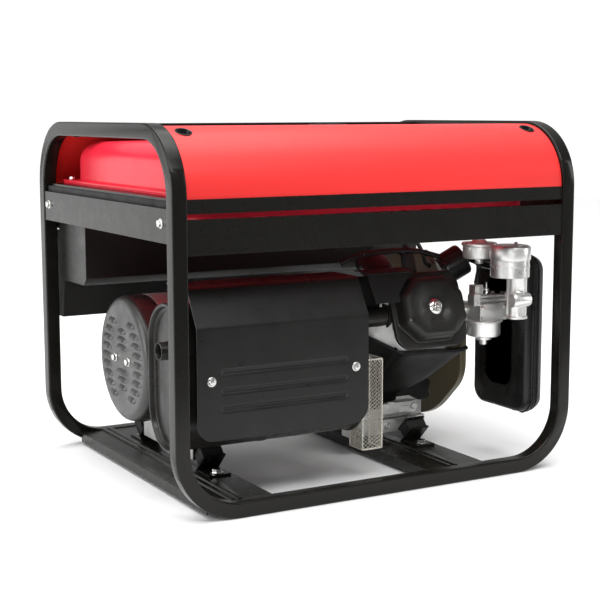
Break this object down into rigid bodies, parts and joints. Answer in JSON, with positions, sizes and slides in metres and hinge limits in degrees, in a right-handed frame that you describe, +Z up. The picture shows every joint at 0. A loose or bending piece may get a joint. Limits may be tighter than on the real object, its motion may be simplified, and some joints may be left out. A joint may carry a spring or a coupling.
{
  "type": "portable generator",
  "caption": "Open-frame portable petrol generator: square-tube frame, red tank and side covers, horizontal engine and alternator, oval silencer behind a heat shield.",
  "frame": {"origin": "floor under the middle of the frame", "axes": "+X along the shaft from the alternator end to the recoil starter, +Y from the exhaust side to the control panel side, +Z up"},
  "size_m": [0.687, 0.535, 0.543],
  "materials": {
    "black_plastic": "moulded, fine grain",
    "cast_aluminium": "sand-cast, bead blasted",
    "cast_iron": "machined faces on grey iron",
    "dark_casting": "dark grey paint on die casting",
    "exhaust_black": "heat-resistant matt paint, slightly burnt",
    "filter_foam": "oiled open-cell foam",
    "frame_paint": "gloss black powder coat with worn edges",
    "grey_plastic": "moulded, light sheen",
    "guard_steel": "straw-tinted by heat",
    "machined_aluminium": "satin machined",
    "panel_paint": "satin black paint on pressed sheet",
    "red_paint": "gloss red enamel",
    "red_plastic": "moulded lever",
    "rubber_black": "moulded rubber",
    "steel": "ground steel with an oil film",
    "tank_paint": "gloss red enamel on deep-drawn sheet",
    "terminal_brass": "bright brass",
    "winding": "varnished copper wire",
    "zinc": "bright zinc plate"
  },
  "bodies": {
    "machine": {"frame_hoop_left": "frame_paint", "frame_hoop_right": "frame_paint", "bottom_rail_near": "frame_paint", "bottom_rail_far": "frame_paint", "crossmembers": "panel_paint", "end_panels": "panel_paint", "side_panels": "panel_paint", "tank_rails": "panel_paint", "top_bar": "frame_paint", "side_cover_near": "red_paint", "side_cover_far": "red_paint", "frame_bolts": "zinc", "fuel_tank": "tank_paint", "filler_neck": "zinc", "fuel_gauge": "machined_aluminium", "fuel_tap": "machined_aluminium", "fuel_hose": "rubber_black", "control_box": "black_plastic", "control_face": "panel_paint", "power_sockets": "grey_plastic", "breaker_body": "black_plastic", "key_switch": "zinc", "voltmeter": "black_plastic", "earth_terminal": "terminal_brass", "alternator_end_cover": "dark_casting", "alternator_housing": "cast_aluminium", "stator": "winding", "rear_bearing": "steel", "rubber_mounts": "rubber_black", "mount_brackets": "panel_paint", "crankcase": "cast_aluminium", "blower_housing": "dark_casting", "recoil_housing": "dark_casting", "piston": "cast_aluminium", "cylinder_head": "cast_aluminium", "head_cover": "dark_casting", "spark_plug": "rubber_black", "breather": "black_plastic", "carburettor": "machined_aluminium", "float_bowl": "machined_aluminium", "intake_canister": "machined_aluminium", "air_cleaner_case": "black_plastic", "air_filter": "filter_foam", "muffler": "exhaust_black", "heat_shield": "exhaust_black", "head_shield": "exhaust_black", "muffler_guard": "guard_steel"},
    "crank": {"crankshaft": "steel", "rotor": "steel", "flywheel": "cast_iron"},
    "recoil_handle": {"recoil_handle": "black_plastic"},
    "fuel_cap": {"fuel_cap": "black_plastic"},
    "fuel_tap_lever": {"fuel_tap_lever": "red_plastic"},
    "choke_lever": {"choke_lever": "steel"},
    "ignition_key": {"ignition_key": "zinc"},
    "breaker_toggle": {"breaker_toggle": "black_plastic"},
    "socket_flap_left": {"socket_flap_left": "grey_plastic"},
    "socket_flap_right": {"socket_flap_right": "grey_plastic"},
    "dipstick": {"dipstick": "black_plastic"},
    "air_cleaner_cover": {"air_cleaner_cover": "black_plastic"}
  },
  "joints": [
    {"name": "crank_spin", "type": "hinge", "parent": "machine", "child": "crank", "pos_m": [0, 0.03, 0.182], "axis": [1, 0, 0], "continuous": true},
    {"name": "recoil_pull", "type": "slide", "parent": "machine", "child": "recoil_handle", "axis": [0, 1, 0], "range_m": [0, 0.6], "stiffness_N_per_m": 30},
    {"name": "fuel_cap_lift", "type": "slide", "parent": "machine", "child": "fuel_cap", "axis": [0, 0, 1], "range_m": [0, 0.05]},
    {"name": "fuel_tap_turn", "type": "hinge", "parent": "machine", "child": "fuel_tap_lever", "pos_m": [0.237, -0.147, 0.376], "axis": [0, -1, 0], "range_deg": [0, 90]},
    {"name": "choke_turn", "type": "hinge", "parent": "machine", "child": "choke_lever", "pos_m": [0.263, -0.164, 0.27], "axis": [0, 0, 1], "range_deg": [0, 60]},
    {"name": "key_turn", "type": "hinge", "parent": "machine", "child": "ignition_key", "pos_m": [0.15, 0.26, 0.318], "axis": [0, -1, 0], "range_deg": [0, 60]},
    {"name": "breaker_flip", "type": "hinge", "parent": "machine", "child": "breaker_toggle", "pos_m": [0.065, 0.254, 0.318], "axis": [1, 0, 0], "range_deg": [0, 50]},
    {"name": "flap_left_lift", "type": "hinge", "parent": "machine", "child": "socket_flap_left", "pos_m": [-0.13, 0.264, 0.348], "axis": [1, 0, 0], "range_deg": [0, 110], "stiffness_Nm_per_rad": 0.01},
    {"name": "flap_right_lift", "type": "hinge", "parent": "machine", "child": "socket_flap_right", "pos_m": [-0.03, 0.264, 0.348], "axis": [1, 0, 0], "range_deg": [0, 110], "stiffness_Nm_per_rad": 0.01},
    {"name": "dipstick_pull", "type": "slide", "parent": "machine", "child": "dipstick", "axis": [0, -0.866, 0.5], "range_m": [0, 0.08]},
    {"name": "cleaner_cover_pull", "type": "slide", "parent": "machine", "child": "air_cleaner_cover", "axis": [1, 0, 0], "range_m": [0, 0.06]}
  ]
}
